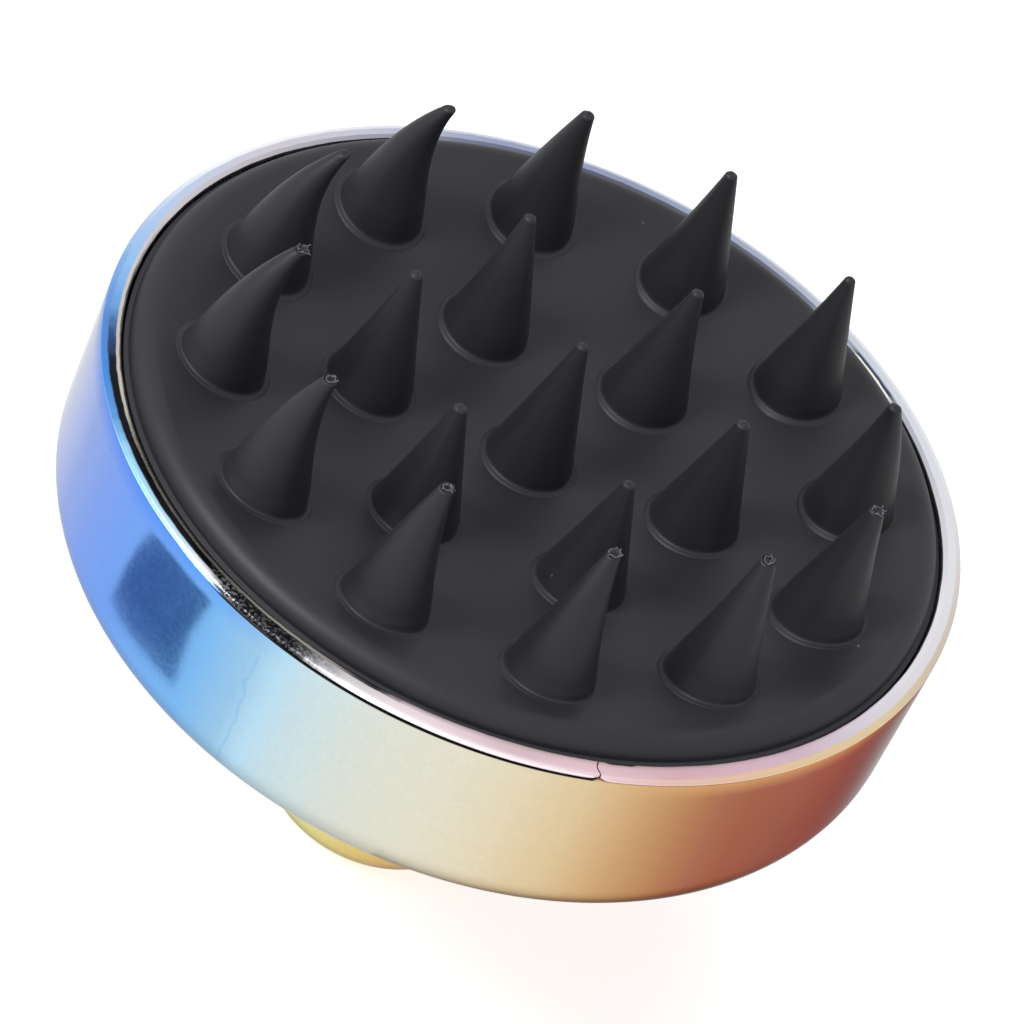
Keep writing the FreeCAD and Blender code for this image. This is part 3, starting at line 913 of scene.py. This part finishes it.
def bristleTree():
    tree = bpy.data.node_groups.new("bristle", "GeometryNodeTree")
    tree.interface.new_socket("Geometry", in_out="OUTPUT", socket_type="NodeSocketGeometry")
    wanted = [(label, "Vector") for label in ("Root", "Lean", "Hook")]
    wanted += [(label, "Float") for label in
               ("Length", "Base", "Tip", "Seed", "Ragged", "Flash", "Curl", "Whiskers", "Dome")]
    for label, kind in wanted:
        tree.interface.new_socket(label, in_out="INPUT", socket_type="NodeSocket" + kind)
    graph = Graph(tree)
    entry = graph.add("NodeGroupInput")
    given = {label: graph.also(entry, label) for label, kind in wanted}
    size = bristleSize
    tube = graph.add(
        "GeometryNodeMeshCylinder", {"fill_type": "NONE"},
        {"Vertices": size["sides"], "Side Segments": size["rows"], "Radius": 1.0, "Depth": 1.0},
    )
    parts = graph.add("ShaderNodeSeparateXYZ", None, {0: graph.add("GeometryNodeInputPosition")})
    across, along, up = parts, graph.also(parts, "Y"), graph.also(parts, "Z")
    row = up + 0.5
    # the bead at the foot has its own heights, and the cone runs from it to the tip
    beadEnd, beadWidth, beadTop = size["bead"][-1]
    heights = [(share, z / 4 + 0.5) for share, width, z in size["bead"]] + [(1, 0.7)]
    widths = [(share, width - 0.5) for share, width, z in size["bead"]] + [(1, 0.4)]
    beadHigh = graph.add("ShaderNodeFloatCurve", {"points": heights}, {"Value": row})
    # it stands up more on the side away from the lean
    side = between(across * 0.9 + along * 0.4, 0.7, -0.5) * 0.65 + 0.35
    beadHeight = (beadHigh - 0.5) * (4 * mm)
    beadHeight = beadHeight.math("MINIMUM", 0.0) + beadHeight.math("MAXIMUM", 0.0) * side
    beadRadius = graph.add("ShaderNodeFloatCurve", {"points": widths}, {"Value": row}) + 0.5
    share = (row - beadEnd) / (size["tipRow"] - beadEnd)
    share = share.math("MAXIMUM", 0.0).math("MINIMUM", 1.0)
    onCone = row.math("GREATER_THAN", beadEnd)
    coneHeight = share * (given["Length"] - beadTop * mm) + beadTop * mm
    coneRadius = (given["Base"] * beadWidth) * (1 - share) + given["Tip"] * share
    coneRadius = coneRadius - share * (1 - share) * size["waist"]
    height = onCone * coneHeight + (1 - onCone) * beadHeight
    radius = onCone * coneRadius + (1 - onCone) * beadRadius * given["Base"]
    # past the tip row the surface closes over in a dome, or folds in to a crater where the dome is negative
    fold = between(row, size["tipRow"], 1.0) * (math.pi / 2)
    radius = radius * fold.math("COSINE")
    height = height + fold.math("SINE") * given["Dome"]
    ragged = graph.add("ShaderNodeTexNoise", {"noise_dimensions": "4D"}, {
        "Vector": graph.add("GeometryNodeInputPosition"), "W": given["Seed"], "Scale": 2.2, "Detail": 2.0,
    })
    nearTip = ((row - size["tipRow"] + 0.05) * 14).math("MAXIMUM", 0.0).math("MINIMUM", 1.0)
    height = height + (ragged - 0.5) * nearTip * given["Ragged"] * 2
    bend = (height / given["Length"]).math("MAXIMUM", 0.0)
    lean = scaled(graph, given["Lean"], bend ** given["Curl"])
    hook = scaled(graph, given["Hook"], bend ** 3.0)
    upright = graph.add("ShaderNodeCombineXYZ", None, {0: across * radius, 1: along * radius, 2: height})
    placed = added(graph, upright, lean, hook, given["Root"])
    # the foot follows the dish of the pad
    ends = graph.add("ShaderNodeSeparateXYZ", None, {0: placed})
    home = graph.add("ShaderNodeSeparateXYZ", None, {0: given["Root"]})
    endY, homeY = graph.also(ends, "Y"), graph.also(home, "Y")
    rise = (ends * ends + endY * endY - home * home - homeY * homeY) / (2 * padSize["dishRadius"])
    low = (1 - height / (2.2 * mm)).math("MAXIMUM", 0.0).math("MINIMUM", 1.0)
    settle = graph.add("ShaderNodeCombineXYZ", None, {2: rise * low})
    body = graph.add(
        "GeometryNodeSetPosition", None, {"Geometry": tube, "Position": placed, "Offset": settle},
    )
    body = graph.add("GeometryNodeMergeByDistance", None, {"Geometry": body, "Distance": 0.004 * mm})
    body = graph.add("GeometryNodeSetMaterial", None, {"Geometry": body, "Material": bristleFinish})
    body = graph.add("GeometryNodeSetShadeSmooth", None, {"Geometry": body, "Shade Smooth": True})
    # a broken ring of thin flash round a torn tip
    ring = graph.add("GeometryNodeCurvePrimitiveCircle", None, {"Resolution": 26, "Radius": 1.0})
    position = graph.add("GeometryNodeInputPosition")
    wave = graph.add("ShaderNodeTexNoise", {"noise_dimensions": "4D"}, {
        "Vector": position, "W": given["Seed"] + 3.7, "Scale": 1.6, "Detail": 3.0,
    }, out=1)
    spot = graph.add("ShaderNodeVectorMath", {"operation": "SUBTRACT"}, {0: wave, 1: (0.5, 0.5, 0.5)})
    spot = graph.add("ShaderNodeVectorMath", {"operation": "MULTIPLY"}, {0: spot, 1: size["scatter"]})
    spot = scaled(graph, added(graph, spot, position), given["Flash"])
    tipUp = graph.add("ShaderNodeCombineXYZ", None, {2: given["Length"] - 0.05 * mm})
    tipPlace = added(graph, given["Root"], given["Lean"], given["Hook"], tipUp)
    spot = added(graph, spot, tipPlace)
    ring = graph.add("GeometryNodeSetPosition", None, {"Geometry": ring, "Position": spot})
    # with a few whiskers that stand out of it
    strand = graph.add("GeometryNodeCurvePrimitiveLine", None, {"End": size["whisker"]})
    far = size["whiskerLean"]
    turn = graph.add("FunctionNodeRandomValue", {"data_type": "FLOAT_VECTOR"}, {
        "Min": (-far, -far, 0.0), "Max": (far, far, 6.28), "Seed": given["Seed"],
    })
    kept = graph.add("FunctionNodeRandomValue", {"data_type": "FLOAT"}, {"Seed": given["Seed"] + 5}, out=1)
    spots = graph.add("GeometryNodeCurveToPoints", None, {"Curve": ring, "Count": size["whiskerPlaces"]})
    strands = graph.add("GeometryNodeInstanceOnPoints", None, {
        "Points": spots, "Instance": strand, "Rotation": turn,
        "Selection": kept.math("LESS_THAN", given["Whiskers"]),
    })
    strands = graph.add("GeometryNodeRealizeInstances", None, {"Geometry": strands})
    threads = graph.add("GeometryNodeJoinGeometry")
    tree.links.new(ring.socket, threads.socket.node.inputs[0])
    tree.links.new(strands.socket, threads.socket.node.inputs[0])
    thread = graph.add("GeometryNodeCurvePrimitiveCircle", None, {"Resolution": 5, "Radius": size["thread"]})
    burr = graph.add("GeometryNodeCurveToMesh", None, {"Curve": threads, "Profile Curve": thread})
    burr = graph.add("GeometryNodeSetMaterial", None, {"Geometry": burr, "Material": flashFinish})
    torn = given["Dome"].math("LESS_THAN", 0.0)
    burr = graph.add("GeometryNodeSwitch", {"input_type": "GEOMETRY"}, {"Switch": torn, "True": burr})
    join = graph.add("GeometryNodeJoinGeometry")
    tree.links.new(burr.socket, join.socket.node.inputs[0])
    tree.links.new(body.socket, join.socket.node.inputs[0])
    solid = graph.add("GeometryNodeRealizeInstances", None, {"Geometry": join})
    output = tree.nodes.new("NodeGroupOutput")
    tree.links.new(solid.socket, output.inputs[0])
    return tree


def applyTree(name, tree, values):
    # a plain mesh from a node tree, with its named inputs set before it is first evaluated
    carrier = bpy.data.objects.new(name + "Carrier", bpy.data.meshes.new(name + "Carrier"))
    bpy.context.scene.collection.objects.link(carrier)
    modifier = carrier.modifiers.new("nodes", "NODES")
    modifier.node_group = tree
    keys = {item.name: item.identifier for item in tree.interface.items_tree if item.in_out == "INPUT"}
    for label, value in values.items():
        modifier[keys[label]] = value
    bpy.context.view_layer.update()
    evaluated = carrier.evaluated_get(bpy.context.evaluated_depsgraph_get())
    mesh = bpy.data.meshes.new_from_object(evaluated)
    mesh.name = name
    piece = bpy.data.objects.new(name, mesh)
    bpy.context.scene.collection.objects.link(piece)
    bpy.data.objects.remove(carrier)
    return piece


bristleShape = {
    # how late the cone bends, for a slight lean and for a strong one
    "curl": (1.5, 3.2),
    "strongLean": 1.8 * mm,
    "jitter": 0.05 * mm,
    # how ragged a tip is, and the share of that on torn and on whole ones
    "ragged": 0.2 * mm,
    "tornRagged": 1.4,
    "wholeRagged": 0.5,
    # the tips nearest the front are torn, with flash round a small crater, and the others are domed
    "tornBefore": -6.0 * mm,
    "flash": 0.5 * mm,
    "crater": 0.22 * mm,
    "dome": 0.42 * mm,
}


def tipOf(node):
    # the middle of a CAD bristle's tip
    points = [v.co for v in frame["nodes"][node].data.vertices]
    high = max(p.z for p in points)
    top = [p for p in points if p.z > high - 0.02 * mm]
    return sum(top, Vector()) / len(top)


def bristles():
    tree = bristleTree()
    source = np.random.default_rng(19)
    made = []
    for body, root in pivots.items():
        node = frame["record"]["behaviour"]["bodies"][body][0]
        tip = tipOf(node)
        offset = tip - root
        length = offset.z
        sideways = Vector((offset.x, offset.y, 0))
        torn = root.xy.length > 20 * mm and root.y < bristleShape["tornBefore"]
        dome = -bristleShape["crater"] if torn else bristleShape["dome"]
        ragged = bristleShape["tornRagged" if torn else "wholeRagged"]
        jitter = source.normal(0, bristleShape["jitter"], 2)
        late = min(sideways.length / bristleShape["strongLean"], 1.0)
        slow, fast = bristleShape["curl"]
        values = {
            "Root": root, "Lean": sideways, "Hook": Vector((jitter[0], jitter[1], 0)),
            "Length": length - max(dome, 0),
            "Base": bristleSize["base"], "Tip": bristleSize["tip"] * float(source.uniform(0.85, 1.1)),
            "Seed": float(source.uniform(0, 50)), "Curl": slow + (fast - slow) * late,
            "Ragged": bristleShape["ragged"] * float(source.uniform(0.5, 1.2)) * ragged,
            "Flash": bristleShape["flash"] * float(source.uniform(0.8, 1.15)),
            "Whiskers": float(source.uniform(0.3, 0.7)), "Dome": dome,
        }
        piece = applyTree(node.replace("bristle_", "bristle"), tree, values)
        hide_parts(node)
        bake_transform(piece)
        made.append(piece)
    print("bristles:", len(made), "with", len(made[0].data.polygons), "faces each")
    return made


# making the pieces

fixedPieces = [
    (backShell, "plated_shell", ["back_shell"]),
    (trimRing, "plated_ring", ["trim_ring"]),
    (padSheet, "silicone", ["bristle_pad"]),
    (knobBody, "plated_knob", ["knob"]),
    (knobCap, "plated_knob", ["knob_cap"]),
]
for make, slotName, nodes in fixedPieces:
    piece = make()
    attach(piece, rootBody)
    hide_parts(*nodes)
    print(piece.name, len(piece.data.polygons), "faces")
bristles()

cadFinish = {
    "carrier_plate": carrierFinish,
    "carrier_screws": steelFinish,
    "knob_washer": steelFinish,
    "knob_screw": steelFinish,
}
for node, finish in cadFinish.items():
    for slot in frame["nodes"][node].material_slots:
        slot.material = finish


# studio: floor, lamps, camera

studio = {
    "floorSize": 6.0,
    "floorTone": 0.82,
    "floorGlow": 0.56,
    "floorShine": 0.2,
    "worldTone": 1.0,
    "worldFill": 0.42,
}


def whiteWhenSeen(graph):
    # one for rays that look at a thing, straight or by reflection, and nought for light that falls from it
    path = graph.add("ShaderNodeLightPath")
    seen = graph.also(path, "Is Camera Ray") + graph.also(path, "Is Glossy Ray")
    seen = seen + graph.also(path, "Is Transmission Ray")
    return seen.math("MINIMUM", 1.0)


def floorPiece():
    half = studio["floorSize"] / 2
    low = cadBounds[0][2]
    points = [(-half, -half, low), (half, -half, low), (half, half, low), (-half, half, low)]
    material, graph = newMaterial("floorPaper")
    diffuse = graph.add("ShaderNodeBsdfDiffuse", None, {"Color": (studio["floorTone"],) * 3 + (1,)})
    path = graph.add("ShaderNodeLightPath")
    strength = graph.also(path, "Is Camera Ray") * studio["floorGlow"]
    strength = strength + graph.also(path, "Is Glossy Ray") * studio["floorShine"]
    glow = graph.add("ShaderNodeEmission", None, {"Strength": strength})
    finishMaterial(graph, graph.add("ShaderNodeAddShader", None, {0: diffuse, 1: glow}))
    piece = meshObject("floorPaper", points, [[0, 1, 2, 3]], material)
    return piece


def worldLight():
    world = bpy.data.worlds.new("studioWorld")
    world.use_nodes = True
    world.node_tree.nodes.clear()
    graph = Graph(world.node_tree)
    seen = whiteWhenSeen(graph)
    strength = seen * (studio["worldTone"] - studio["worldFill"]) + studio["worldFill"]
    background = graph.add("ShaderNodeBackground", None, {"Color": (1, 1, 1, 1), "Strength": strength})
    graph.add("ShaderNodeOutputWorld", None, {"Surface": background})
    bpy.context.scene.world = world


lamps = [
    # name, where it stands and what it looks at in mm, size in mm, power in watts, if reflections show it
    ("keyLamp", (-390, -230, 500), (0, 0, 40), 260, 3.6, True),
    ("fillLamp", (260, -440, 360), (0, 0, 40), 320, 0.9, False),
    ("topLamp", (60, 180, 700), (0, 0, 40), 360, 1.0, False),
]


def lampRig():
    for name, place, target, size, power, mirrored in lamps:
        light = bpy.data.lights.new(name, "AREA")
        light.shape = "DISK"
        light.size = size * mm
        light.energy = power
        lamp = bpy.data.objects.new(name, light)
        lamp.location = Vector(place) * mm
        aim = Vector(target) * mm - lamp.location
        lamp.rotation_euler = aim.to_track_quat("-Z", "Y").to_euler()
        lamp.visible_glossy = mirrored
        bpy.context.scene.collection.objects.link(lamp)


darkCard = {
    # in mm, from the axis of the brush
    "corners": [
        (-77, -32), (-75, -27), (-71, -25), (-66, -25), (-62, -33), (-59, -40), (-55, -46), (-52, -50),
        (-56, -50), (-61, -51), (-63, -56), (-67, -56), (-71, -49), (-76, -41),
    ],
    "height": 0.4,
    "light": (0.22, 0.29, 0.45, 1.0),
}


def flagCard():
    # a small dark card on the floor that only reflections see, as a dark patch in the blue plating
    points = [(x * mm, y * mm, cadBounds[0][2] + darkCard["height"] * mm) for x, y in darkCard["corners"]]
    material, graph = newMaterial("flagCard")
    finishMaterial(graph, graph.add("ShaderNodeEmission", None, {"Color": darkCard["light"]}))
    piece = meshObject("flagCard", points, [list(range(len(points)))], material)
    piece.visible_camera = False
    piece.visible_diffuse = False
    piece.visible_shadow = False


view = {
    "azimuth": -3.8,
    "elevation": 40.66,
    "roll": 25.7,
    "distance": 480.1 * mm,
    "lens": 193.1,
    "sensor": 36.0,
    # how far the view is moved right and up, as a share of the distance
    "aside": (0.00504, 0.01367),
}


def camera():
    turn, rise, roll = (math.radians(view[k]) for k in ("azimuth", "elevation", "roll"))
    back = Vector((math.sin(turn) * math.cos(rise), -math.cos(turn) * math.cos(rise), math.sin(rise)))
    right = (-back).cross(Vector((0, 0, 1))).normalized()
    up = right.cross(-back)
    rolledRight = right * math.cos(roll) + up * math.sin(roll)
    rolledUp = up * math.cos(roll) - right * math.sin(roll)
    lens = bpy.data.cameras.new("camera")
    lens.lens = view["lens"]
    lens.sensor_width = view["sensor"]
    lens.clip_start = 0.01
    seat = bpy.data.objects.new("camera", lens)
    offset = rolledRight * view["aside"][0] + rolledUp * view["aside"][1]
    place = Vector((0, 0, rimHeight)) + (back - offset) * view["distance"]
    axes = Matrix((rolledRight, rolledUp, back)).transposed()
    seat.matrix_world = Matrix.Translation(place) @ axes.to_4x4()
    bpy.context.scene.collection.objects.link(seat)
    bpy.context.scene.camera = seat


floorPiece()
flagCard()
worldLight()
lampRig()
camera()
bpy.context.scene.view_settings.view_transform = "Standard"
print("studio: ready")
